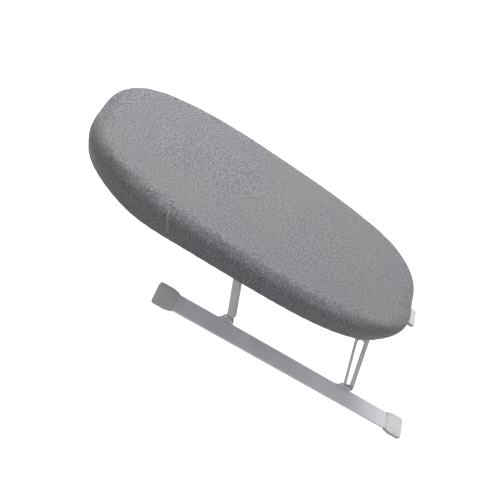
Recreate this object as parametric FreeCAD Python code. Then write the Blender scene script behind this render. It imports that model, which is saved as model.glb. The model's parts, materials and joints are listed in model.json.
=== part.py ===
import FreeCAD, Part
import math
import os

# Tabletop folding ironing board, in millimetres. A padded board stands on two long feet, and two
# pairs of legs, always parallel, let it swing up and over and lie down on the feet.
# +X runs along the board towards the end that the feet reach past, +Y to the rear and +Z up.
# The origin is on the table, under the middle of the whole object. The front (-Y) and rear (+Y)
# sides are mirror copies.

# Board
board_length = 500.0
board_width = 203.0
ironing_height = 160.0        # table to the top of the cover
cover_depth = 43.0            # top of the cover to the underside of its hem
corner_exponent = 2.92        # 2 draws an ellipse, and more comes nearer to a rectangle
outline_points = 72
edge_radius = 14.0            # rounding of the cover's upper edge
hem_radius = 4.0              # rounding of the cover's lower edge
fabric = 1.2
pad_top = 7.0
pad_side = 3.5
pan_sheet = 1.2
hem_width = 13.0              # how far the cover turns in under the rim
elastic_width = 2.5
pan_lip = 5.0                 # how far the pan's lower edge is turned in

# Feet
foot_length = 450.0           # over both end caps
foot_middle_y = 105.6         # the middle of a foot, from the board's centre line
board_lead = 155.0            # the board's middle is this far ahead of the feet's middle
bar_width = 26.5
bar_height = 4.0
bar_sheet = 1.2
bar_rounding = 1.0
bar_lift = 1.0                # table to the underside of the bar
cap_width = 34.0
cap_length = 32.0
cap_taper = 10.0
cap_height = 7.0
cap_grip = 24.0               # how much of the bar is inside the cap
cap_corner = 4.0
cap_rounding = 1.5

# Legs and their hinges
leg_spacing = 218.0           # left hinges to right hinges
lower_hinge_z = 8.5
upper_hinge_z = 127.0
lean_open = 28.8              # degrees that the legs lean towards -X when the board is up
leg_sheet = 2.0
leg_top_y = 34.0              # the middle of a leg's upper tab
tab_length = 13.0             # flat tab from each hinge to the bend
left_leg_foot_width = 10.0
left_leg_top_width = 9.5
left_flange = 5.0             # folded edge of a left leg
flange_bend = 55.0            # degrees
right_leg_foot_width = 16.0
right_leg_top_width = 23.5
window_start = 12.5           # the right leg's window, along the leg from its lower hinge
window_end = 82.0
window_left_edge = 4.5        # metal left of the window
window_right_edge = 7.0       # metal right of the window
side_gap = 0.3                # between two parts that turn against each other
running_gap = 0.05            # radial, a shaft in its hole
open_pivot_gap = 0.5          # radial, the right axle in its bracket
pin_radius = 2.0
pin_head_radius = 3.4
pin_head_height = 1.4
pivot_washer_radius = 4.4
ear_radius = 5.0              # around the hinge
ear_stop_radius = 4.0         # around the stop stud
ear_spread = 8.0              # the ear's foot reaches this far past the hinge and the stud
stop_radius = 1.8
stop_reach = {"left": 13.0, "right": 9.0}    # along the leg from its lower hinge
stop_gap = 0.1
stop_head_radius = 2.6
stop_head_height = 0.7
axle_radius = 3.0
washer_radius = 6.0
washer_sheet = 0.9
nut_radius = 5.0
nut_height = 4.0

# Brackets under the pan
bracket_length = 56.0
bracket_sheet = 1.5
bracket_ear_y = 30.0          # outer face of an ear
bracket_ear_length = 36.0
bracket_ear_radius = 8.0
bracket_rivet_x = 20.0        # from the hinge
bracket_rivet_y = 15.0
rivet_radius = 2.0
rivet_head_radius = 4.0
rivet_head_height = 1.8

head_top_share = 0.6          # flat top of a rivet head or push nut, as a share of its base
overcut = 1.0                 # how far a cutting tool sticks out of what it cuts
tolerance = 0.01

# Places that follow from these
board_x = -(board_lead + foot_length / 2 - board_length / 2) / 2
feet_x = board_x + board_lead
cover_bottom = ironing_height - cover_depth
cover_inside_top = ironing_height - fabric
cover_inside_bottom = cover_bottom + fabric
pan_top = cover_inside_top - pad_top
pan_ceiling = pan_top - pan_sheet
pan_inset = fabric + pad_side
bar_top = bar_lift + bar_height
bar_inner_y = foot_middle_y - bar_width / 2
leg_rise = upper_hinge_z - lower_hinge_z
leg_length = leg_rise / math.cos(math.radians(lean_open))
leg_shift = leg_rise * math.tan(math.radians(lean_open))
leg_foot_y = bar_inner_y - side_gap - leg_sheet / 2
ear_outer_y = bar_inner_y + bar_sheet
lower_hinge_x = {"left": feet_x - leg_spacing / 2, "right": feet_x + leg_spacing / 2}
upper_hinge_x = {side: x - leg_shift for side, x in lower_hinge_x.items()}
leg_foot_width = {"left": left_leg_foot_width, "right": right_leg_foot_width}
leg_top_width = {"left": left_leg_top_width, "right": right_leg_top_width}


def vec(x, y, z):
    return FreeCAD.Vector(x, y, z)


def box(x0, x1, y0, y1, z0, z1):
    return Part.makeBox(x1 - x0, y1 - y0, z1 - z0, vec(x0, y0, z0))


def rod_y(x, z, y0, y1, radius):
    """Round bar along Y, from y0 to y1."""
    return Part.makeCylinder(radius, y1 - y0, vec(x, y0, z), vec(0, 1, 0))


def rear_copy(shape):
    return shape.mirror(vec(0, 0, 0), vec(0, 1, 0))


def both_sides(shape):
    """A front piece and its rear copy, as separate solids in one group."""
    return Part.makeCompound([shape, rear_copy(shape)])


def polygon_prism(points, direction):
    """Prism on a closed polygon."""
    face = Part.Face(Part.makePolygon(points + points[:1]))
    return face.extrude(direction)


def tapered_bar(start, start_radius, end, end_radius, y0, y1):
    """Flat bar with round ends between two (x, z) centres, from y0 to y1."""
    (x0, z0), (x1, z1) = start, end
    length = math.hypot(x1 - x0, z1 - z0)
    along = ((x1 - x0) / length, (z1 - z0) / length)
    across = (along[1], -along[0])
    lean = (end_radius - start_radius) / length
    square = math.sqrt(1 - lean * lean)

    def tangent_point(centre, radius, side):
        x = centre[0] + radius * (side * square * across[0] - lean * along[0])
        z = centre[1] + radius * (side * square * across[1] - lean * along[1])
        return vec(x, y0, z)

    right_start = tangent_point(start, start_radius, 1)
    right_end = tangent_point(end, end_radius, 1)
    left_start = tangent_point(start, start_radius, -1)
    left_end = tangent_point(end, end_radius, -1)
    bottom = vec(x0 - start_radius * along[0], y0, z0 - start_radius * along[1])
    top = vec(x1 + end_radius * along[0], y0, z1 + end_radius * along[1])
    edges = [
        Part.Arc(left_start, bottom, right_start).toShape(),
        Part.LineSegment(right_start, right_end).toShape(),
        Part.Arc(right_end, top, left_end).toShape(),
        Part.LineSegment(left_end, left_start).toShape(),
    ]
    return Part.Face(Part.Wire(edges)).extrude(vec(0, y1 - y0, 0))


def head(radius, height, place, direction):
    """Low cone with a flat top: a rivet's head or a push nut."""
    return Part.makeCone(radius, radius * head_top_share, height, place, direction)


# Board

def board_outline(inset, z):
    """Closed superellipse, inset from the cover's outermost line."""
    half_length = board_length / 2 - inset
    half_width = board_width / 2 - inset
    points = []
    for i in range(outline_points):
        angle = 2 * math.pi * i / outline_points
        c = math.cos(angle)
        s = math.sin(angle)
        power = abs(c) ** corner_exponent + abs(s) ** corner_exponent
        reach = power ** (-1 / corner_exponent)
        points.append(vec(board_x + half_length * reach * c, half_width * reach * s, z))
    curve = Part.BSplineCurve()
    curve.interpolate(Points=points, PeriodicFlag=True)
    return Part.Wire(curve.toShape())


def board_slab(inset, z0, z1, top_radius=0.0, bottom_radius=0.0):
    """Solid on the board's outline, with rounded upper and lower edges."""
    slab = Part.Face(board_outline(inset, z0)).extrude(vec(0, 0, z1 - z0))
    if top_radius:
        top = [edge for edge in slab.Edges if edge.BoundBox.ZMin > z1 - tolerance]
        slab = slab.makeFillet(top_radius, top)
    if bottom_radius:
        bottom = [edge for edge in slab.Edges if edge.BoundBox.ZMax < z0 + tolerance]
        slab = slab.makeFillet(bottom_radius, bottom)
    return slab


def space_in_cover():
    return board_slab(fabric, cover_inside_bottom, cover_inside_top, edge_radius - fabric,
                      hem_radius - fabric)


def pan_block():
    return board_slab(pan_inset, cover_inside_bottom, pan_top, edge_radius - pan_inset)


def cover():
    """Fabric skin over the pad, turned in under the rim."""
    skin = board_slab(0, cover_bottom, ironing_height, edge_radius, hem_radius)
    skin = skin.cut(space_in_cover())
    return skin.cut(board_slab(hem_width, cover_bottom - overcut, cover_inside_bottom + overcut))


def hem_elastic():
    """Elastic edging along the hem's inner edge."""
    band = board_slab(hem_width, cover_bottom, cover_inside_bottom)
    return band.cut(board_slab(hem_width + elastic_width, cover_bottom - overcut,
                               cover_inside_bottom + overcut))


def foam_pad():
    """Pad over the pan's top and down its sides, open below."""
    mouth = board_slab(pan_inset, cover_bottom, cover_inside_bottom + overcut)
    return space_in_cover().cut(pan_block().fuse(mouth))


def bracket_rivet_places(side):
    x = upper_hinge_x[side]
    return [(x + sx * bracket_rivet_x, sy * bracket_rivet_y) for sx in (-1, 1) for sy in (-1, 1)]


def pan():
    """Pressed tray, open below, with its lower edge turned in and holes for the rivets."""
    wall_inset = pan_inset + pan_sheet
    hollow = board_slab(wall_inset, cover_inside_bottom + pan_sheet, pan_ceiling,
                        edge_radius - wall_inset)
    mouth = board_slab(wall_inset + pan_lip, cover_bottom, cover_inside_bottom + 2 * pan_sheet)
    tray = pan_block().cut(hollow).cut(mouth)
    for side in upper_hinge_x:
        for x, y in bracket_rivet_places(side):
            tray = tray.cut(Part.makeCylinder(rivet_radius, 2 * pan_sheet,
                                              vec(x, y, pan_ceiling - pan_sheet / 2)))
    return tray


# Brackets

def bracket(side, hole_radius):
    """Channel with two ears, open downwards."""
    x = upper_hinge_x[side]
    base_z = pan_ceiling - bracket_sheet
    shape = box(x - bracket_length / 2, x + bracket_length / 2, -bracket_ear_y, bracket_ear_y,
                base_z, pan_ceiling)
    half = bracket_ear_length / 2
    outer = -bracket_ear_y
    inner = outer + bracket_sheet
    ear = tapered_bar((x, upper_hinge_z), bracket_ear_radius, (x, base_z), half, outer, inner)
    ear = ear.common(box(x - half, x + half, outer, inner, 0, base_z + bracket_sheet))
    shape = shape.fuse([ear, rear_copy(ear)])
    shape = shape.cut(rod_y(x, upper_hinge_z, outer - overcut, bracket_ear_y + overcut,
                            hole_radius))
    for rivet_x, rivet_y in bracket_rivet_places(side):
        shape = shape.cut(Part.makeCylinder(rivet_radius, 2 * bracket_sheet,
                                            vec(rivet_x, rivet_y, base_z - bracket_sheet / 2)))
    return shape.removeSplitter()


def bracket_rivets(side):
    """Four rivets, with heads under the bracket and flush with the pan's top."""
    base_z = pan_ceiling - bracket_sheet
    rivets = []
    for x, y in bracket_rivet_places(side):
        shank = Part.makeCylinder(rivet_radius, pan_top - base_z, vec(x, y, base_z))
        rivet_head = head(rivet_head_radius, rivet_head_height, vec(x, y, base_z),
                          vec(0, 0, -1))
        rivets.append(shank.fuse(rivet_head))
    return Part.makeCompound(rivets)


# Legs, built upright over the lower hinge and then leaned

def upright_sheet():
    """Wide sheet with the legs' side profile: a tab at each end and a slope between."""
    foot_y = -leg_foot_y
    top_y = -leg_top_y
    reach = right_leg_top_width
    levels = [(foot_y, -reach), (foot_y, tab_length), (top_y, leg_length - tab_length),
              (top_y, leg_length + reach)]
    front = [vec(-reach, y - leg_sheet / 2, z) for y, z in levels]
    back = [vec(-reach, y + leg_sheet / 2, z) for y, z in reversed(levels)]
    return polygon_prism(front + back, vec(2 * reach, 0, 0))


def leg_holes():
    foot = rod_y(0, 0, -2 * leg_foot_y, 0, pin_radius + running_gap)
    top = rod_y(0, leg_length, -2 * leg_foot_y, 0, axle_radius)
    return foot.fuse(top)


def left_leg():
    """Narrow strip with one long edge folded back."""
    depth = 2 * leg_foot_y
    half = left_leg_foot_width / 2
    plate = tapered_bar((0, 0), half, (0, leg_length), left_leg_top_width / 2, -depth, 0)
    plate = plate.common(upright_sheet())
    bend = math.radians(flange_bend)
    run = vec(0, leg_foot_y - leg_top_y, leg_length - 2 * tab_length)
    fold_x = left_flange * math.cos(bend)
    fold_y = left_flange * math.sin(bend)
    thick_x = leg_sheet * math.sin(bend)
    y = -leg_foot_y - leg_sheet / 2
    section = [vec(half - thick_x, y, tab_length),
               vec(half, y, tab_length),
               vec(half + fold_x, y + fold_y, tab_length),
               vec(half + fold_x - thick_x, y + fold_y + leg_sheet / 2, tab_length),
               vec(half - thick_x, y + leg_sheet, tab_length)]
    flange = polygon_prism(section, run)
    return plate.fuse(flange).cut(leg_holes()).removeSplitter()


def right_leg():
    """Wider strip that tapers towards its foot, with a long window."""
    depth = 2 * leg_foot_y
    foot_half = right_leg_foot_width / 2
    top_half = right_leg_top_width / 2
    plate = tapered_bar((0, 0), foot_half, (0, leg_length), top_half, -depth, 0)

    def window_end_at(z):
        half = foot_half + (top_half - foot_half) * z / leg_length
        radius = half - (window_left_edge + window_right_edge) / 2
        return (window_left_edge - window_right_edge) / 2, radius

    start_x, start_radius = window_end_at(window_start)
    end_x, end_radius = window_end_at(window_end)
    window = tapered_bar((start_x, window_start), start_radius, (end_x, window_end), end_radius,
                         -depth, 0)
    return plate.cut(window).common(upright_sheet()).cut(leg_holes()).removeSplitter()


def lean(shape, side):
    """Puts an upright front leg on its lower hinge, leaning as it does when the board is up."""
    leaned = shape.copy()
    leaned.rotate(vec(0, 0, 0), vec(0, 1, 0), -lean_open)
    leaned.translate(vec(lower_hinge_x[side], 0, lower_hinge_z))
    return leaned


# Axles between the front and rear legs

axle_washer_y = bracket_ear_y + side_gap
axle_nut_y = leg_top_y + leg_sheet / 2


def top_axle(side):
    return rod_y(upper_hinge_x[side], upper_hinge_z, -axle_nut_y - nut_height / 2,
                 axle_nut_y + nut_height / 2, axle_radius)


def axle_washers(side):
    """Spacers on the axle between the bracket's ears and the legs."""
    x = upper_hinge_x[side]
    inner = -axle_washer_y
    outer = -(leg_top_y - leg_sheet / 2)
    ring = rod_y(x, upper_hinge_z, outer, inner, washer_radius)
    hole = rod_y(x, upper_hinge_z, outer - overcut, inner + overcut, axle_radius)
    return both_sides(ring.cut(hole))


def axle_nuts(side):
    """Closed push nuts over the axle's ends."""
    place = vec(upper_hinge_x[side], -axle_nut_y, upper_hinge_z)
    nut = head(nut_radius, nut_height, place, vec(0, -1, 0))
    return both_sides(nut.cut(top_axle(side)))


# Feet

def stop_centre(side):
    """Where the stop stud touches the leg's edge, from the lower hinge."""
    angle = math.radians(lean_open)
    reach = stop_reach[side]
    taper = (leg_top_width[side] - leg_foot_width[side]) * reach / leg_length
    away = (leg_foot_width[side] + taper) / 2 + stop_radius + stop_gap
    x = -math.sin(angle) * reach - math.cos(angle) * away
    z = math.cos(angle) * reach - math.sin(angle) * away
    return lower_hinge_x[side] + x, lower_hinge_z + z


def foot_ear(side):
    """Ear turned up from the bar's inner wall, around the hinge pin and the stop stud."""
    y0 = -ear_outer_y
    y1 = -bar_inner_y
    hinge_x = lower_hinge_x[side]
    stop_x, stop_z = stop_centre(side)
    rim = tapered_bar((hinge_x, lower_hinge_z), ear_radius, (stop_x, stop_z), ear_stop_radius,
                      y0, y1)
    foot = polygon_prism([vec(stop_x - ear_spread, y0, bar_top - bar_sheet),
                          vec(hinge_x + ear_spread, y0, bar_top - bar_sheet),
                          vec(hinge_x, y0, lower_hinge_z + ear_radius / 2),
                          vec(stop_x, y0, stop_z + ear_stop_radius / 2)],
                         vec(0, bar_sheet, 0))
    pin_hole = rod_y(hinge_x, lower_hinge_z, y0 - overcut, y1 + overcut, pin_radius)
    stud_hole = rod_y(stop_x, stop_z, y0 - overcut, y1 + overcut, stop_radius)
    return rim.fuse(foot).cut(pin_hole).cut(stud_hole)


def foot_bar():
    """Shallow channel, open below, with an ear at each hinge."""
    half_length = foot_length / 2 - cap_length + cap_grip
    y0 = -foot_middle_y - bar_width / 2
    y1 = -bar_inner_y
    outer = box(feet_x - half_length, feet_x + half_length, y0, y1, bar_lift, bar_top)
    outer_edge = [edge for edge in outer.Edges
                  if edge.BoundBox.ZMin > bar_top - tolerance
                  and edge.BoundBox.YMax < y0 + tolerance]
    outer = outer.makeFillet(bar_rounding, outer_edge)
    hollow = box(feet_x - half_length - overcut, feet_x + half_length + overcut,
                 y0 + bar_sheet, y1 - bar_sheet, 0, bar_top - bar_sheet)
    bar = outer.cut(hollow).fuse([foot_ear("left"), foot_ear("right")])
    return bar.removeSplitter()


def end_cap(end):
    """Plastic shoe over one end of a front bar; end is -1 on the left and 1 on the right."""
    tip = feet_x + end * foot_length / 2
    wide = tip - end * (cap_length - cap_taper)
    mouth = tip - end * cap_length
    half = cap_width / 2
    mouth_half = bar_width / 2 + bar_sheet
    outline = [vec(tip, -half, 0), vec(tip, half, 0), vec(wide, half, 0),
               vec(mouth, mouth_half, 0), vec(mouth, -mouth_half, 0), vec(wide, -half, 0)]
    shoe = polygon_prism(outline, vec(0, 0, cap_height))
    corners = [edge for edge in shoe.Edges
               if edge.BoundBox.ZLength > cap_height / 2
               and abs(edge.CenterOfMass.x - tip) < tolerance]
    shoe = shoe.makeFillet(cap_corner, corners)
    rim = [edge for edge in shoe.Edges
           if edge.BoundBox.ZMin > cap_height - tolerance
           and abs(edge.CenterOfMass.x - mouth) > tolerance]
    shoe = shoe.makeFillet(cap_rounding, rim)
    shoe.translate(vec(0, -foot_middle_y, 0))
    slot_ends = sorted([mouth - end * overcut, mouth + end * cap_grip])
    y0 = -foot_middle_y - bar_width / 2
    slot = box(slot_ends[0], slot_ends[1], y0, y0 + bar_width, bar_lift, bar_top)
    return shoe.cut(slot)


pivot_washer_y = leg_foot_y - leg_sheet / 2 - side_gap


def pivot_pin(side):
    """Rivet through an ear, a leg and a washer, with a head at each end."""
    x = lower_hinge_x[side]
    front = -ear_outer_y
    back = -pivot_washer_y + washer_sheet
    shank = rod_y(x, lower_hinge_z, front, back, pin_radius)
    front_head = head(pin_head_radius, pin_head_height, vec(x, front, lower_hinge_z),
                      vec(0, -1, 0))
    back_head = head(pin_head_radius, pin_head_height, vec(x, back, lower_hinge_z),
                     vec(0, 1, 0))
    return shank.fuse([front_head, back_head])


def pivot_washer(side):
    x = lower_hinge_x[side]
    front = -pivot_washer_y
    back = front + washer_sheet
    ring = rod_y(x, lower_hinge_z, front, back, pivot_washer_radius)
    return ring.cut(rod_y(x, lower_hinge_z, front - overcut, back + overcut, pin_radius))


def stop_stud(side):
    """Headed stud in an ear, which the leg's edge rests on when the board is up."""
    x, z = stop_centre(side)
    front = -ear_outer_y
    back = -leg_foot_y + leg_sheet / 2
    stud_head = head(stop_head_radius, stop_head_height, vec(x, front, z), vec(0, -1, 0))
    return rod_y(x, z, front, back, stop_radius).fuse(stud_head)


def hinge_group(make):
    """One copy of a piece at each of the four lower hinges."""
    solids = []
    for side in ("left", "right"):
        solids += [make(side), rear_copy(make(side))]
    return Part.makeCompound(solids)


def all_nodes():
    nodes = {
        "foot_front": foot_bar(),
        "foot_rear": rear_copy(foot_bar()),
        "pivot_pins": hinge_group(pivot_pin),
        "pivot_washers": hinge_group(pivot_washer),
        "stop_studs": hinge_group(stop_stud),
        "pan": pan(),
        "foam_pad": foam_pad(),
        "cover": cover(),
        "hem_elastic": hem_elastic(),
        "left_bracket": bracket("left", axle_radius + running_gap),
        "right_bracket": bracket("right", axle_radius + open_pivot_gap),
    }
    for name, end in (("left", -1), ("right", 1)):
        nodes["end_cap_front_" + name] = end_cap(end)
        nodes["end_cap_rear_" + name] = rear_copy(end_cap(end))
    for side, leg in (("left", left_leg()), ("right", right_leg())):
        nodes[side + "_leg_front"] = lean(leg, side)
        nodes[side + "_leg_rear"] = rear_copy(lean(leg, side))
        nodes[side + "_top_axle"] = top_axle(side)
        nodes[side + "_axle_washers"] = axle_washers(side)
        nodes[side + "_axle_nuts"] = axle_nuts(side)
        nodes[side + "_bracket_rivets"] = bracket_rivets(side)
    return nodes


os.makedirs("parts", exist_ok=True)
for name, shape in all_nodes().items():
    shape.exportStep("parts/" + name + ".step")
    print(name, len(shape.Solids), shape.isValid(), round(shape.Volume))
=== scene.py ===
import json
import math

import bmesh
import bpy
import mathutils
from mathutils import Matrix, Vector
from mathutils.bvhtree import BVHTree


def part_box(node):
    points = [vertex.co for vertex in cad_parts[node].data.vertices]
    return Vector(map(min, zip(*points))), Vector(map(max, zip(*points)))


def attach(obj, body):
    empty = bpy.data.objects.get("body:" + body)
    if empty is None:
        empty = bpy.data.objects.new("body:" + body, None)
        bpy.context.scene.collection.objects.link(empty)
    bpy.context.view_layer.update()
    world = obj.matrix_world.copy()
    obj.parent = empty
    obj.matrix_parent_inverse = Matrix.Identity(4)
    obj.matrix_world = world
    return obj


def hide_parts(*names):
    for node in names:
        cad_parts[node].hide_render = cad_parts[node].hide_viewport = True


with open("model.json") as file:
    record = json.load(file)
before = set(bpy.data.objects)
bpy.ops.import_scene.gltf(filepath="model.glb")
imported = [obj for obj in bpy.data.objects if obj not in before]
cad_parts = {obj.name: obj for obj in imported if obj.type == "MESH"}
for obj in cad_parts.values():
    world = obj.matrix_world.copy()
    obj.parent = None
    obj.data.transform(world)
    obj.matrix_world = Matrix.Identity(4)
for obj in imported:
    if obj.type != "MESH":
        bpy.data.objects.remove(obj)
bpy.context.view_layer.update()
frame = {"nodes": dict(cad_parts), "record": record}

# Everything is in metres, in the frame of the CAD model. The board's outline, its height and the
# depth of its cover are read from the frame.
COVER_LOW, COVER_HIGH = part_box("cover")
BOARD_MIDDLE = (COVER_LOW + COVER_HIGH) / 2
HALF_LENGTH = (COVER_HIGH.x - COVER_LOW.x) / 2
HALF_WIDTH = (COVER_HIGH.y - COVER_LOW.y) / 2
COVER_TOP = COVER_HIGH.z
COVER_BOTTOM = COVER_LOW.z
MM = 0.001

# Camera
CAMERA_AZIMUTH = math.radians(-22.52)
CAMERA_ELEVATION = math.radians(50.13)
CAMERA_ROLL = math.radians(49.27)
CAMERA_DISTANCE = 0.7951
CAMERA_LENS = 38.67
CAMERA_SENSOR = 36.0
CAMERA_CLIP = 0.01
CAMERA_AIM_FROM_BOARD = Vector((0.0204, 0.0032, 0.0550))

# Cover: its outline and its profile from the top, over the edge, to the turned-in hem
CORNER_EXPONENT = 2.92
SEGMENTS = 384
EDGE_SOFTNESS = 15.5 * MM
EDGE_DROP = 17 * MM
TOP_CROWN = 0.6 * MM
SKIRT_DRAW = 1.4 * MM
HEM_BEND = 4.5 * MM
HEM_WIDTH = 13 * MM
HEM_LIFT = 0.8 * MM
FABRIC_THICKNESS = 0.9 * MM
TOP_RING_STEP = 4.5 * MM
FIRST_RING = 0.12             # the innermost ring, in ring steps from the board's middle line
EDGE_STEPS = 9
SKIRT_STEPS = 7
BEND_STEPS = 5
HEM_STEPS = 5

# Cover: the cloth simulation that swells it
CLOTH_SETTINGS = {
    "quality": 6, "mass": 0.25, "tension_stiffness": 15, "compression_stiffness": 15,
    "shear_stiffness": 5, "bending_stiffness": 2.0, "shrink_min": -0.02,
    "use_pressure": True, "uniform_pressure_force": 4.0,
}
CLOTH_FRAMES = 20
CLOTH_CAP = 2.2 * MM
HELD_BELOW = 0.02             # shares of the cover's depth, from the hem
FREE_ABOVE = 0.30
RELAX_ROUNDS = 3

# Cover: gathers along the hem, and the place near the nose, at the front, where it hangs lower
GATHERS = 92
GATHER_WOBBLES = ((3, 1.6, 0.4), (7, 1.1, 2.1), (19, 0.7, 0.9))    # waves round, size, phase
GATHER_DEPTH = 1.7 * MM
GATHER_SWELL = 0.25
PUCKER_DEPTH = 0.35 * MM
PUCKER_EVEN_SHARE = 0.75      # how deep the puckers are everywhere, and how much patches add
PUCKER_PATCH_SHARE = 0.65
PUCKER_PATCH_SCALE = 22
PUCKER_PATCH_LAYER = 3.0
PUCKER_TOP = 28 * MM
UNDERSIDE_TOP = 5 * MM        # cloth lower than this above the hem can be on the underside,
UNDERSIDE_START = 4 * MM      # and is when it is further in than this
HEM_SAG = 7.5 * MM
SAG_MIDDLE = math.radians(236)
SAG_SPREAD = math.radians(12)

# Cover: the tuck where the ends of the skirt's cloth meet. Its ends are given as x and z.
SEAM_HEAD = Vector((-0.1880, 0.1575))
SEAM_FOOT = Vector((-0.1715, 0.1290))
SEAM_HALF_WIDTH = 1.8 * MM
SEAM_HEIGHT = 0.9 * MM
SEAM_END_SHARE = 0.15
SEAM_STEPS = 16
SEAM_SIDES = 8

# Hem elastic and its stitches
ELASTIC_WIDTH = 2.6 * MM
ELASTIC_THICKNESS = 1.6 * MM
ELASTIC_SEGMENTS = 4 * SEGMENTS
ELASTIC_SIDES = 10
ELASTIC_SIDE_STEP = 0.5 * MM
ELASTIC_LENGTH = 1.25
STITCHES = 330
STITCH_INSET = 9.5 * MM
STITCH_HALF_SHARE = 0.28      # half a stitch, as a share of the stitch spacing
STITCH_BELOW_HEM = 0.1 * MM
STITCH_THIN = 0.12 * MM
STITCH_THICK = 0.28 * MM
STITCH_RINGS = ((0.0, STITCH_THIN), (0.2, STITCH_THICK), (0.8, STITCH_THICK), (1.0, STITCH_THIN))
STITCH_SIDES = 6

# Foam pad, between the cover and the pan
PAN_LOW, PAN_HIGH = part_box("pan")
PAN_TOP = PAN_HIGH.z
PAN_INSET = PAN_LOW.x - COVER_LOW.x
PAN_EDGE = 9.3 * MM
PAN_EDGE_STEPS = 6
PAN_CLEARANCE = 0.2 * MM
FOAM_GAP = FABRIC_THICKNESS + 0.5 * MM
FOAM_GAP_AT_EDGE = 0.6        # share of the gap that is kept along each axis over the edge
FOAM_FOOT_INSET = 1.0 * MM
FOAM_FOOT_Z = COVER_BOTTOM + 2 * MM
FOAM_LUMP_DEPTH = 0.15 * MM
FOAM_LUMP_SCALE = 60.0

# Light
LIGHT_TARGET = Vector((0.0, 0.0, 0.08))
KEY_DIRECTION = Vector((-0.42, 0.79, 1.25))
KEY_DISTANCE = 1.7
KEY_SIZE = 0.9
KEY_POWER = 31.0
SKY_ABOVE = 0.64
SKY_BELOW = 0.06
SKY_BLUR = 0.1                # half the height of the blend at the horizon
SKY_COLOUR = (0.97, 0.98, 1.0, 1.0)
FLOOR_HALF_SIZE = 6.0

# Materials
THREAD_PITCH = 0.62 * MM
CLOTH_GRAIN_SCALE = 760.0
ELASTIC_RIB_PITCH = 1.2 * MM


# ---------- small helpers

def link(obj):
    bpy.context.scene.collection.objects.link(obj)
    return obj


def smooth(mesh):
    for polygon in mesh.polygons:
        polygon.use_smooth = True


def mesh_object(name, vertices, faces):
    mesh = bpy.data.meshes.new(name)
    mesh.from_pydata([tuple(v) for v in vertices], [], faces)
    mesh.update()
    smooth(mesh)
    return link(bpy.data.objects.new(name, mesh))


def apply_modifiers(obj):
    """Replaces the object's mesh by what its modifiers make of it."""
    depsgraph = bpy.context.evaluated_depsgraph_get()
    made = bpy.data.meshes.new_from_object(obj.evaluated_get(depsgraph))
    old = obj.data
    obj.modifiers.clear()
    obj.data = made
    bpy.data.meshes.remove(old)
    smooth(obj.data)


def soft_step(low, high, value):
    """0 below low, 1 above high, and a smooth rise between them."""
    t = min(max((value - low) / (high - low), 0.0), 1.0)
    return t * t * (3 - 2 * t)


# ---------- material helpers

class Nodes:
    """A material's node tree, built with short calls."""

    def __init__(self, name):
        self.material = bpy.data.materials.new(name)
        self.material.use_nodes = True
        self.tree = self.material.node_tree
        self.shader = self.tree.nodes["Principled BSDF"]

    def add(self, kind, **settings):
        node = self.tree.nodes.new(kind)
        for key, value in settings.items():
            if key in node.inputs:
                node.inputs[key].default_value = value
            else:
                setattr(node, key, value)
        return node

    def join(self, source, target):
        self.tree.links.new(source, target)

    def coordinates(self, output="Object"):
        return self.add("ShaderNodeTexCoord").outputs[output]

    def noise(self, vector, scale, detail=3.0, roughness=0.55):
        node = self.add("ShaderNodeTexNoise", Scale=scale, Detail=detail, Roughness=roughness)
        self.join(vector, node.inputs["Vector"])
        return node.outputs["Fac"]

    def voronoi(self, vector, scale, feature="F1"):
        node = self.add("ShaderNodeTexVoronoi", feature=feature, Scale=scale)
        self.join(vector, node.inputs["Vector"])
        return node.outputs["Distance"]

    def ramp(self, value, stops):
        node = self.add("ShaderNodeValToRGB")
        ramp = node.color_ramp
        while len(ramp.elements) < len(stops):
            ramp.elements.new(0.5)
        for element, (place, colour) in zip(ramp.elements, stops):
            element.position = place
            element.color = (*colour, 1.0)
        self.join(value, node.inputs["Fac"])
        return node.outputs["Color"]

    def math(self, operation, a, b=None):
        node = self.add("ShaderNodeMath", operation=operation)
        for socket, value in zip(node.inputs, (a, b)):
            if isinstance(value, (int, float)):
                socket.default_value = value
            elif value is not None:
                self.join(value, socket)
        return node.outputs["Value"]

    def range(self, value, low, high):
        node = self.add("ShaderNodeMapRange")
        node.inputs["To Min"].default_value = low
        node.inputs["To Max"].default_value = high
        self.join(value, node.inputs["Value"])
        return node.outputs["Result"]

    def mix(self, factor, a, b):
        node = self.add("ShaderNodeMix", data_type="RGBA")
        for socket, value in ((node.inputs[0], factor), (node.inputs[6], a), (node.inputs[7], b)):
            if isinstance(value, (int, float)):
                socket.default_value = value
            elif isinstance(value, tuple):
                socket.default_value = (*value, 1.0)
            else:
                self.join(value, socket)
        return node.outputs[2]

    def bump(self, height, distance, strength, normal=None):
        node = self.add("ShaderNodeBump", Strength=strength, Distance=distance)
        self.join(height, node.inputs["Height"])
        if normal is not None:
            self.join(normal, node.inputs["Normal"])
        return node.outputs["Normal"]

    def set(self, **values):
        """Constants straight on the shader's sockets; spaces in names are given as _."""
        for key, value in values.items():
            self.shader.inputs[key.replace("_", " ")].default_value = value

    def feed(self, **sources):
        for key, source in sources.items():
            self.join(source, self.shader.inputs[key.replace("_", " ")])


# ---------- materials

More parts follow.
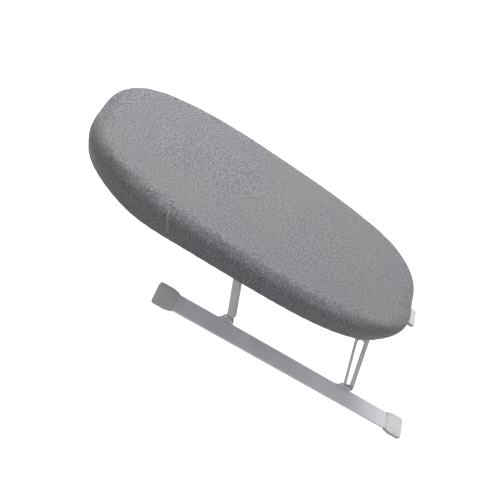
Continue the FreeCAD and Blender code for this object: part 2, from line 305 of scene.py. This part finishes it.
def cover_material():
    """Silver-coated plain weave: threads, mottled coating, and fine bright specks that are painted
    glints of the silver coat.
    """
    n = Nodes("silver_cover_fabric")
    uv = n.coordinates("UV")
    place = n.coordinates("Object")
    split = n.add("ShaderNodeSeparateXYZ")
    n.join(uv, split.inputs["Vector"])
    warp = n.math("SINE", n.math("MULTIPLY", split.outputs["X"], math.pi / THREAD_PITCH))
    weft = n.math("SINE", n.math("MULTIPLY", split.outputs["Y"], math.pi / THREAD_PITCH))
    weave = n.math("MULTIPLY", warp, weft)
    grain = n.noise(place, CLOTH_GRAIN_SCALE, 2.0, 0.6)
    mottle = n.noise(place, 420.0, 3.0, 0.6)
    cloud = n.noise(place, 14.0, 3.0, 0.5)
    tint = n.noise(place, 5.0, 2.0, 0.5)
    # Painted glints: sparse bright specks that stand for the silver coat's sparkle, painted into
    # the base colour
    specks = n.voronoi(place, 650.0)
    tone = n.math("ADD", n.math("MULTIPLY", grain, 0.65), n.math("MULTIPLY", mottle, 0.35))
    base = n.ramp(tone, [(0.36, (0.070, 0.068, 0.080)), (0.50, (0.186, 0.182, 0.197)),
                         (0.64, (0.345, 0.340, 0.360))])
    faded = n.mix(n.range(cloud, 0.0, 0.20), base, (0.200, 0.197, 0.205))
    tinted = n.mix(n.ramp(tint, [(0.42, (0.0, 0.0, 0.0)), (0.58, (0.4, 0.4, 0.4))]), faded,
                   (0.205, 0.206, 0.188))
    painted_glint_mask = n.ramp(specks, [(0.05, (1.0, 1.0, 1.0)), (0.16, (0.0, 0.0, 0.0))])
    with_painted_glints = n.mix(n.math("MULTIPLY", painted_glint_mask, 0.35), tinted, (0.46, 0.46, 0.48))
    threads = n.bump(weave, 0.00012, 0.5)
    relief = n.bump(mottle, 0.0004, 0.35, threads)
    n.feed(Base_Color=with_painted_glints, Normal=relief, Roughness=n.range(grain, 0.46, 0.66))
    n.set(Metallic=0.05, Specular_IOR_Level=0.1)
    return n.material


def seam_painted_highlight_material():
    """The cover's cloth where it is folded over, painted lighter as a painted highlight on the
    fold.
    """
    n = Nodes("seam_fold_painted_highlight_fabric")
    grain = n.noise(n.coordinates(), CLOTH_GRAIN_SCALE, 2.0, 0.6)
    # Painted highlight: the cover's cloth with a lighter base colour, for the light the fold
    # catches
    base = n.ramp(grain, [(0.36, (0.22, 0.22, 0.23)), (0.64, (0.36, 0.36, 0.37))])
    n.feed(Base_Color=base, Normal=n.bump(grain, 0.0002, 0.4), Roughness=n.range(grain, 0.5, 0.7))
    n.set(Metallic=0.05, Specular_IOR_Level=0.1)
    return n.material


def foam_material():
    """Cream polyurethane foam: open cells and faint yellowing."""
    n = Nodes("pad_foam")
    place = n.coordinates()
    cells = n.voronoi(place, 900.0)
    stain = n.noise(place, 25.0)
    base = n.ramp(stain, [(0.35, (0.70, 0.66, 0.54)), (0.65, (0.82, 0.79, 0.68))])
    n.feed(Base_Color=base, Normal=n.bump(cells, 0.0006, 0.8), Roughness=n.range(cells, 0.85, 0.98))
    return n.material


def elastic_material():
    """Woven elastic: ribs along the band and fuzz."""
    n = Nodes("hem_elastic_weave")
    uv = n.coordinates("UV")
    split = n.add("ShaderNodeSeparateXYZ")
    n.join(uv, split.inputs["Vector"])
    ribs = n.math("SINE", n.math("MULTIPLY", split.outputs["X"], 2 * math.pi / ELASTIC_RIB_PITCH))
    fuzz = n.noise(n.coordinates(), 900.0)
    base = n.ramp(fuzz, [(0.3, (0.42, 0.42, 0.43)), (0.7, (0.60, 0.60, 0.61))])
    n.feed(Base_Color=base, Normal=n.bump(ribs, 0.0002, 0.6), Roughness=n.range(fuzz, 0.7, 0.95))
    return n.material


def thread_material():
    """Twisted sewing thread."""
    n = Nodes("sewing_thread")
    twist = n.noise(n.coordinates(), 2500.0, 2.0)
    base = n.ramp(twist, [(0.3, (0.30, 0.30, 0.31)), (0.7, (0.44, 0.44, 0.45))])
    n.feed(Base_Color=base, Normal=n.bump(twist, 0.0002, 0.6), Roughness=n.range(twist, 0.6, 0.8))
    return n.material


def paint_material(name, dark, light, roughness, metallic, worn):
    """Sprayed silver paint: fine flake, orange peel, faint scuffs."""
    n = Nodes(name)
    place = n.coordinates()
    flake = n.noise(place, 2600.0, 2.0, 0.7)
    cloud = n.noise(place, 18.0, 4.0, 0.55)
    peel = n.noise(place, 420.0, 2.0, 0.5)
    scuff = n.noise(place, 55.0, 6.0, 0.75)
    base = n.ramp(n.math("ADD", n.math("MULTIPLY", flake, 0.35), n.math("MULTIPLY", cloud, 0.65)),
                  [(0.30, dark), (0.70, light)])
    marks = n.ramp(scuff, [(0.62, (0.0, 0.0, 0.0)), (0.72, (1.0, 1.0, 1.0))])
    scuffed = n.mix(n.math("MULTIPLY", marks, worn), base, tuple(c * 0.72 for c in dark))
    n.feed(Base_Color=scuffed, Normal=n.bump(peel, 0.00025, 0.25),
           Roughness=n.range(scuff, roughness - 0.06, roughness + 0.12))
    n.set(Metallic=metallic, Coat_Weight=0.25, Coat_Roughness=0.25)
    return n.material


def cap_material():
    """Milky soft plastic, a little translucent, with moulding haze."""
    n = Nodes("milky_cap_plastic")
    place = n.coordinates()
    haze = n.noise(place, 60.0, 3.0)
    grain = n.noise(place, 1200.0, 2.0)
    base = n.ramp(haze, [(0.3, (0.48, 0.48, 0.485)), (0.7, (0.56, 0.56, 0.57))])
    n.feed(Base_Color=base, Normal=n.bump(grain, 0.00015, 0.35),
           Roughness=n.range(haze, 0.40, 0.55))
    n.set(Subsurface_Weight=0.35, Subsurface_Scale=0.004, Specular_IOR_Level=0.2)
    return n.material


def zinc_material():
    """Zinc-plated steel: soft spangle and turning marks."""
    n = Nodes("zinc_hardware")
    place = n.coordinates()
    spangle = n.voronoi(place, 480.0)
    marks = n.noise(place, 3000.0, 2.0)
    base = n.ramp(spangle, [(0.1, (0.50, 0.51, 0.53)), (0.8, (0.70, 0.70, 0.71))])
    n.feed(Base_Color=base, Normal=n.bump(marks, 0.0001, 0.3),
           Roughness=n.range(spangle, 0.28, 0.42))
    n.set(Metallic=0.9)
    return n.material


def floor_material():
    """Plain white paper, faintly lit of its own so that it stays white."""
    n = Nodes("studio_floor")
    paper = n.noise(n.coordinates(), 300.0, 3.0)
    base = n.ramp(paper, [(0.3, (0.86, 0.86, 0.86)), (0.7, (0.89, 0.89, 0.89))])
    n.feed(Base_Color=base, Roughness=n.range(paper, 0.75, 0.85))
    n.set(Specular_IOR_Level=0.2, Emission_Color=(1.0, 1.0, 1.0, 1.0), Emission_Strength=0.9)
    return n.material


# ---------- the board's outline and the cover's shape

def outline_point(inset, angle):
    """Point of the board's superellipse outline, drawn inwards by inset."""
    c = math.cos(angle)
    s = math.sin(angle)
    reach = (abs(c) ** CORNER_EXPONENT + abs(s) ** CORNER_EXPONENT) ** (-1 / CORNER_EXPONENT)
    x = BOARD_MIDDLE.x + (HALF_LENGTH - inset) * reach * c
    y = BOARD_MIDDLE.y + (HALF_WIDTH - inset) * reach * s
    return x, y


def quarter_turn(steps, first=0):
    """Angles from 0 to a right angle in equal steps, without the steps before the first."""
    return [math.pi / 2 * i / steps for i in range(first, steps + 1)]


def cover_profile():
    """(inset, z) pairs from the middle of the top, over the edge, down the skirt and under."""
    pairs = []
    flat = HALF_WIDTH - EDGE_SOFTNESS
    rings = int(flat / TOP_RING_STEP)
    for i in range(rings):
        share = (i + FIRST_RING) / rings
        pairs.append((HALF_WIDTH - flat * share, COVER_TOP - TOP_CROWN * share ** 2))
    edge_top = COVER_TOP - TOP_CROWN
    for turn in quarter_turn(EDGE_STEPS):
        pairs.append((EDGE_SOFTNESS * (1 - math.sin(turn)),
                      edge_top - EDGE_DROP * (1 - math.cos(turn))))
    skirt_top = edge_top - EDGE_DROP
    skirt_bottom = COVER_BOTTOM + HEM_BEND
    for i in range(1, SKIRT_STEPS + 1):
        share = i / SKIRT_STEPS
        pairs.append((SKIRT_DRAW * share ** 2, skirt_top + (skirt_bottom - skirt_top) * share))
    for turn in quarter_turn(BEND_STEPS, first=1):
        pairs.append((SKIRT_DRAW + HEM_BEND * (1 - math.cos(turn)),
                      skirt_bottom - HEM_BEND * math.sin(turn)))
    bend_end = SKIRT_DRAW + HEM_BEND
    for i in range(1, HEM_STEPS + 1):
        share = i / HEM_STEPS
        pairs.append((bend_end + (HEM_WIDTH - bend_end) * share, COVER_BOTTOM + HEM_LIFT * share))
    return pairs


def ring_grid(pairs, segments):
    """Vertices and quads of rings around the board, one ring for each (inset, z) pair."""
    vertices = []
    for inset, z in pairs:
        for i in range(segments):
            x, y = outline_point(inset, 2 * math.pi * i / segments)
            vertices.append((x, y, z))
    faces = []
    for ring in range(len(pairs) - 1):
        for i in range(segments):
            j = (i + 1) % segments
            a = ring * segments
            b = a + segments
            faces.append((a + i, b + i, b + j, a + j))
    return vertices, faces


def close_first_ring(faces, segments):
    """Quads across the first, very flat ring, from its upper to its lower half."""
    half = segments // 2
    for i in range(1, half - 1):
        faces.append((i, i + 1, segments - i - 1, segments - i))
    faces.append((0, 1, segments - 1))
    faces.append((half - 1, half, half + 1))


def flat_cut_uv(obj, pairs, segments):
    """UV in metres of the flat cloth: the top as it lies and the skirt folded outwards."""
    lengths = [0.0]
    for (i0, z0), (i1, z1) in zip(pairs, pairs[1:]):
        lengths.append(lengths[-1] + math.hypot(i1 - i0, z1 - z0))
    flat_radius = HALF_WIDTH - pairs[0][0]
    layer = obj.data.uv_layers.new(name="flat_cut")
    spots = []
    for ring in range(len(pairs)):
        inset = HALF_WIDTH - flat_radius - lengths[ring]
        for i in range(segments):
            spots.append(outline_point(inset, 2 * math.pi * i / segments))
    for loop in obj.data.loops:
        layer.data[loop.index].uv = spots[loop.vertex_index]


def cover_cloth(obj, pairs, segments):
    """Swells the cover as cloth, held along the hem. It only moves outwards, up to the cap."""
    held = obj.vertex_groups.new(name="held")
    for ring, (_, z) in enumerate(pairs):
        height = (z - COVER_BOTTOM) / (COVER_TOP - COVER_BOTTOM)
        weight = 1.0 - soft_step(HELD_BELOW, FREE_ABOVE, height)
        if weight > 0:
            held.add(list(range(ring * segments, (ring + 1) * segments)), weight, "REPLACE")
    start = [vertex.co.copy() for vertex in obj.data.vertices]
    outward = [vertex.normal.copy() for vertex in obj.data.vertices]
    modifier = obj.modifiers.new("cloth", "CLOTH")
    for key, value in CLOTH_SETTINGS.items():
        setattr(modifier.settings, key, value)
    modifier.settings.vertex_group_mass = "held"
    modifier.settings.effector_weights.gravity = 0.0
    modifier.point_cache.frame_start = 1
    modifier.point_cache.frame_end = CLOTH_FRAMES
    scene = bpy.context.scene
    for step in range(1, CLOTH_FRAMES + 1):
        scene.frame_set(step)
    apply_modifiers(obj)
    scene.frame_set(1)
    for vertex, place, normal in zip(obj.data.vertices, start, outward):
        shift = vertex.co - place
        lift = min(max(shift.dot(normal), 0.0), CLOTH_CAP)
        vertex.co = place + normal * lift
    relax(obj, RELAX_ROUNDS)


def relax(obj, rounds):
    """Evens out the mesh's small bumps, as thick cloth does."""
    shape = bmesh.new()
    shape.from_mesh(obj.data)
    inner = [vertex for vertex in shape.verts if not vertex.is_boundary]
    for _ in range(rounds):
        bmesh.ops.smooth_vert(shape, verts=inner, factor=0.5, use_axis_x=True, use_axis_y=True,
                              use_axis_z=True)
    shape.to_mesh(obj.data)
    shape.free()


def hem_wave(angle):
    """Uneven gathers around the hem, from 0 to 1."""
    shift = sum(size * math.sin(count * angle + phase) for count, size, phase in GATHER_WOBBLES)
    return 0.5 + 0.5 * math.sin(GATHERS * angle + shift)


def hem_sag(angle):
    """How much lower the hem hangs at an angle round the board."""
    turn = math.remainder(angle - SAG_MIDDLE, 2 * math.pi)
    return HEM_SAG * math.exp(-(turn / SAG_SPREAD) ** 2)


def outline_angle(place):
    """The angle at which outline_point draws the outline next to a place."""
    return math.atan2((place.y - BOARD_MIDDLE.y) / HALF_WIDTH,
                      (place.x - BOARD_MIDDLE.x) / HALF_LENGTH)


def gather_hem(obj):
    """Small gathers where the elastic draws the hem in, fading out up the skirt."""
    for vertex in obj.data.vertices:
        place = vertex.co
        height = place.z - COVER_BOTTOM
        if height > PUCKER_TOP:
            continue
        angle = outline_angle(place)
        wave = hem_wave(angle)
        edge_x, edge_y = outline_point(0.0, angle)
        under = 0.0
        if height < UNDERSIDE_TOP:
            from_edge = math.hypot(edge_x - place.x, edge_y - place.y)
            under = soft_step(UNDERSIDE_START, HEM_WIDTH, from_edge)
        normal = Vector(((edge_x - BOARD_MIDDLE.x) / HALF_LENGTH ** 2,
                         (edge_y - BOARD_MIDDLE.y) / HALF_WIDTH ** 2, 0.0)).normalized()
        up_fade = 1.0 - soft_step(0.0, PUCKER_TOP, height)
        spot = Vector((place.x * PUCKER_PATCH_SCALE, place.y * PUCKER_PATCH_SCALE,
                       PUCKER_PATCH_LAYER))
        patch = PUCKER_EVEN_SHARE + PUCKER_PATCH_SHARE * mathutils.noise.noise(spot) ** 2
        vertex.co = place - normal * (PUCKER_DEPTH * wave * up_fade * (1 - under) * patch)
        vertex.co.z -= GATHER_DEPTH * wave * under + hem_sag(angle) * up_fade
    obj.data.update()


def circle_round(centre, side, up, width, height, sides):
    """Points of an ellipse round a centre, in the plane of side and up."""
    turns = [2 * math.pi * k / sides for k in range(sides)]
    return [centre + side * width * math.cos(turn) + up * height * math.sin(turn)
            for turn in turns]


def tube_faces(first, rings, sides):
    """Faces of a closed tube whose rings of vertices start at the vertex called first."""
    last = first + (rings - 1) * sides
    faces = [tuple(first + k for k in range(sides)),
             tuple(last + k for k in reversed(range(sides)))]
    for start in range(first, last, sides):
        for k in range(sides):
            m = (k + 1) % sides
            faces.append((start + k, start + sides + k, start + sides + m, start + m))
    return faces


def make_seam(cover):
    """A short slanting tuck on the skirt, near the nose, where the ends of its cloth meet."""
    surface = BVHTree.FromObject(cover, bpy.context.evaluated_depsgraph_get())
    along = Vector((SEAM_FOOT.x - SEAM_HEAD.x, 0, SEAM_FOOT.y - SEAM_HEAD.y)).normalized()
    vertices = []
    for step in range(SEAM_STEPS + 1):
        share = step / SEAM_STEPS
        x, z = SEAM_HEAD.lerp(SEAM_FOOT, share)
        before_front = Vector((x, COVER_LOW.y - HEM_WIDTH, z))
        place, normal = surface.ray_cast(before_front, Vector((0, 1, 0)))[:2]
        side = along.cross(normal).normalized()
        swell = SEAM_END_SHARE + (1 - SEAM_END_SHARE) * math.sin(math.pi * share) ** 0.5
        vertices += circle_round(place, side, normal, SEAM_HALF_WIDTH * swell,
                                 SEAM_HEIGHT * swell, SEAM_SIDES)
    return mesh_object("skirt_seam", vertices, tube_faces(0, SEAM_STEPS + 1, SEAM_SIDES))


def closed_ring(name, section, segments):
    """A ring of any closed cross-section, given as (inset, z) at an angle round the board."""
    vertices = []
    for i in range(segments):
        angle = 2 * math.pi * i / segments
        for inset, z in section(angle):
            x, y = outline_point(inset, angle)
            vertices.append((x, y, z))
    count = len(vertices) // segments
    faces = []
    for i in range(segments):
        a = i * count
        b = (i + 1) % segments * count
        for k in range(count):
            m = (k + 1) % count
            faces.append((a + k, a + m, b + m, b + k))
    return mesh_object(name, vertices, faces)


def make_elastic():
    """Narrow elastic edging, drawn up into the gathers it makes."""
    middle = HEM_WIDTH + ELASTIC_WIDTH / 2
    turns = [2 * math.pi * k / ELASTIC_SIDES for k in range(ELASTIC_SIDES)]

    def section(angle):
        z = COVER_BOTTOM + HEM_LIFT - GATHER_DEPTH * hem_wave(angle) - hem_sag(angle)
        swell = 1.0 + GATHER_SWELL * math.sin(2 * GATHERS * angle)
        return [(middle + ELASTIC_WIDTH / 2 * math.cos(turn),
                 z + ELASTIC_THICKNESS / 2 * swell * math.sin(turn)) for turn in turns]

    ring = closed_ring("hem_elastic_edging", section, ELASTIC_SEGMENTS)
    layer = ring.data.uv_layers.new(name="band")
    for loop in ring.data.loops:
        step, around = divmod(loop.vertex_index, ELASTIC_SIDES)
        layer.data[loop.index].uv = (step / ELASTIC_SEGMENTS * ELASTIC_LENGTH,
                                     around * ELASTIC_SIDE_STEP)
    return ring


def make_stitches():
    """A row of thread stitches along the turned-in hem."""
    up = Vector((0, 0, 1))
    half = 2 * math.pi * STITCH_HALF_SHARE / STITCHES
    under = soft_step(UNDERSIDE_START, HEM_WIDTH, STITCH_INSET)
    bend_end = SKIRT_DRAW + HEM_BEND
    hem_z = COVER_BOTTOM + HEM_LIFT * (STITCH_INSET - bend_end) / (HEM_WIDTH - bend_end)
    vertices = []
    faces = []
    for i in range(STITCHES):
        angle = 2 * math.pi * (i + 0.5) / STITCHES
        z = hem_z - GATHER_DEPTH * hem_wave(angle) * under - STITCH_BELOW_HEM - hem_sag(angle)
        start = Vector((*outline_point(STITCH_INSET, angle - half), z))
        end = Vector((*outline_point(STITCH_INSET, angle + half), z))
        side = (end - start).normalized().cross(up)
        faces += tube_faces(len(vertices), len(STITCH_RINGS), STITCH_SIDES)
        for share, radius in STITCH_RINGS:
            vertices += circle_round(start.lerp(end, share), side, up, radius, radius,
                                     STITCH_SIDES)
    return mesh_object("hem_stitches", vertices, faces)


def foam_profile():
    """(inset, z) pairs: under the cover from the middle outwards, then back along the pan."""
    pairs = [pair for pair in cover_profile() if pair[1] > COVER_BOTTOM + HEM_BEND + FOAM_GAP]
    profile = []
    for inset, z in pairs:
        inward = FOAM_GAP if z < COVER_TOP - EDGE_SOFTNESS else FOAM_GAP * FOAM_GAP_AT_EDGE
        downward = FOAM_GAP if inset > EDGE_SOFTNESS else FOAM_GAP * FOAM_GAP_AT_EDGE
        profile.append((inset + inward, z - downward))
    profile.append((SKIRT_DRAW + FOAM_GAP, COVER_BOTTOM + HEM_BEND))
    profile.append((SKIRT_DRAW + FOAM_GAP + FOAM_FOOT_INSET, FOAM_FOOT_Z))
    profile.append((PAN_INSET - PAN_CLEARANCE, FOAM_FOOT_Z))
    profile.append((PAN_INSET - PAN_CLEARANCE, PAN_TOP - PAN_EDGE))
    for turn in quarter_turn(PAN_EDGE_STEPS, first=1):
        profile.append((PAN_INSET + PAN_EDGE - (PAN_EDGE + PAN_CLEARANCE) * math.cos(turn),
                        PAN_TOP - PAN_EDGE + (PAN_EDGE + PAN_CLEARANCE) * math.sin(turn)))
    profile.append((pairs[0][0], PAN_TOP + PAN_CLEARANCE))
    return profile


def make_foam():
    """The foam pad: over the pan's top, round its edge and down its sides, open below."""
    profile = foam_profile()
    segments = SEGMENTS // 2
    vertices, faces = ring_grid(profile, segments)
    close_first_ring(faces, segments)
    last = (len(profile) - 1) * segments
    underside = []
    close_first_ring(underside, segments)
    faces += [tuple(last + k for k in reversed(face)) for face in underside]
    foam = mesh_object("foam_layer", vertices, faces)
    lumps = [mathutils.noise.noise(v.co * FOAM_LUMP_SCALE) for v in foam.data.vertices]
    for vertex, lump in zip(foam.data.vertices, lumps):
        if vertex.co.z < PAN_TOP:
            vertex.co -= vertex.normal * FOAM_LUMP_DEPTH * abs(lump)
    return foam


def make_cover():
    """The cloth cover: rings swelled as cloth, gathered along the hem and given a thickness."""
    pairs = cover_profile()
    vertices, faces = ring_grid(pairs, SEGMENTS)
    close_first_ring(faces, SEGMENTS)
    cover = mesh_object("board_cover", vertices, faces)
    flat_cut_uv(cover, pairs, SEGMENTS)
    cover_cloth(cover, pairs, SEGMENTS)
    finer = cover.modifiers.new("finer", "SUBSURF")
    finer.levels = 1
    finer.render_levels = 1
    apply_modifiers(cover)
    gather_hem(cover)
    skin = cover.modifiers.new("skin", "SOLIDIFY")
    skin.thickness = FABRIC_THICKNESS
    skin.offset = -1.0
    apply_modifiers(cover)
    return cover


# ---------- making

cover = make_cover()
cover.data.materials.append(cover_material())
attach(cover, "board")
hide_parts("cover")

foam_layer = make_foam()
foam_layer.data.materials.append(foam_material())
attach(foam_layer, "board")
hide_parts("foam_pad")

edging = make_elastic()
edging.data.materials.append(elastic_material())
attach(edging, "board")
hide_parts("hem_elastic")

stitches = make_stitches()
stitches.data.materials.append(thread_material())
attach(stitches, "board")

seam = make_seam(cover)
# The tuck's cloth is painted lighter, a painted highlight on the fold
seam.data.materials.append(seam_painted_highlight_material())
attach(seam, "board")

MATERIAL_OF_SLOT = {
    "leg_paint": paint_material("leg_silver_paint", (0.38, 0.385, 0.38), (0.48, 0.485, 0.48),
                                roughness=0.38, metallic=0.25, worn=0.20),
    "foot_paint": paint_material("foot_silver_paint", (0.55, 0.555, 0.58), (0.69, 0.695, 0.73),
                                 roughness=0.42, metallic=0.10, worn=0.20),
    "pan_paint": paint_material("pan_powder_coat", (0.52, 0.53, 0.54), (0.62, 0.63, 0.64),
                                roughness=0.48, metallic=0.10, worn=0.20),
    "zinc_steel": zinc_material(),
    "cap_plastic": cap_material(),
}
for part in frame["record"]["subparts"]:
    node = frame["nodes"][part["node"]]
    if part["material_slot"] in MATERIAL_OF_SLOT:
        node.data.materials.clear()
        node.data.materials.append(MATERIAL_OF_SLOT[part["material_slot"]])


# ---------- stage

def make_key_light():
    """One large soft lamp, high behind the board and a little to the left."""
    data = bpy.data.lights.new("key", "AREA")
    data.shape = "DISK"
    data.size = KEY_SIZE
    data.energy = KEY_POWER
    light = link(bpy.data.objects.new("key", data))
    light.location = LIGHT_TARGET + KEY_DIRECTION.normalized() * KEY_DISTANCE
    light.rotation_euler = (-KEY_DIRECTION).to_track_quat("-Z", "Y").to_euler()


def make_sky():
    """Even soft light from above and much less from below the horizon."""
    world = bpy.data.worlds.new("studio")
    world.use_nodes = True
    nodes = world.node_tree.nodes
    links = world.node_tree.links
    direction = nodes.new("ShaderNodeTexCoord")
    split = nodes.new("ShaderNodeSeparateXYZ")
    links.new(direction.outputs["Generated"], split.inputs["Vector"])
    height = nodes.new("ShaderNodeMapRange")
    height.inputs["From Min"].default_value = -SKY_BLUR
    height.inputs["From Max"].default_value = SKY_BLUR
    height.inputs["To Min"].default_value = SKY_BELOW
    height.inputs["To Max"].default_value = SKY_ABOVE
    links.new(split.outputs["Z"], height.inputs["Value"])
    links.new(height.outputs["Result"], nodes["Background"].inputs["Strength"])
    nodes["Background"].inputs["Color"].default_value = SKY_COLOUR
    return world


def make_stage():
    corners_of_floor = [(-1, -1), (1, -1), (1, 1), (-1, 1)]
    floor = mesh_object("floor", [(x * FLOOR_HALF_SIZE, y * FLOOR_HALF_SIZE, 0)
                                  for x, y in corners_of_floor], [(0, 1, 2, 3)])
    floor.data.materials.append(floor_material())
    floor.visible_diffuse = False
    make_key_light()
    bpy.context.scene.world = make_sky()
    bpy.context.scene.view_settings.view_transform = "Standard"


def make_camera():
    """Looks down at the board from the front, with the camera rolled to one side."""
    a, e, r = CAMERA_AZIMUTH, CAMERA_ELEVATION, CAMERA_ROLL
    right = Vector((math.cos(a), math.sin(a), 0.0))
    forward = Vector((-math.sin(a) * math.cos(e), math.cos(a) * math.cos(e), -math.sin(e)))
    up = right.cross(forward)
    rolled_right = right * math.cos(r) + up * math.sin(r)
    rolled_up = up * math.cos(r) - right * math.sin(r)
    aim = Vector((BOARD_MIDDLE.x, BOARD_MIDDLE.y, 0.0)) + CAMERA_AIM_FROM_BOARD
    place = aim - forward * CAMERA_DISTANCE
    camera = link(bpy.data.objects.new("camera", bpy.data.cameras.new("camera")))
    axes = Matrix((rolled_right, rolled_up, -forward)).transposed().to_4x4()
    camera.matrix_world = Matrix.Translation(place) @ axes
    camera.data.sensor_width = CAMERA_SENSOR
    camera.data.lens = CAMERA_LENS
    camera.data.clip_start = CAMERA_CLIP
    bpy.context.scene.camera = camera


make_stage()
make_camera()
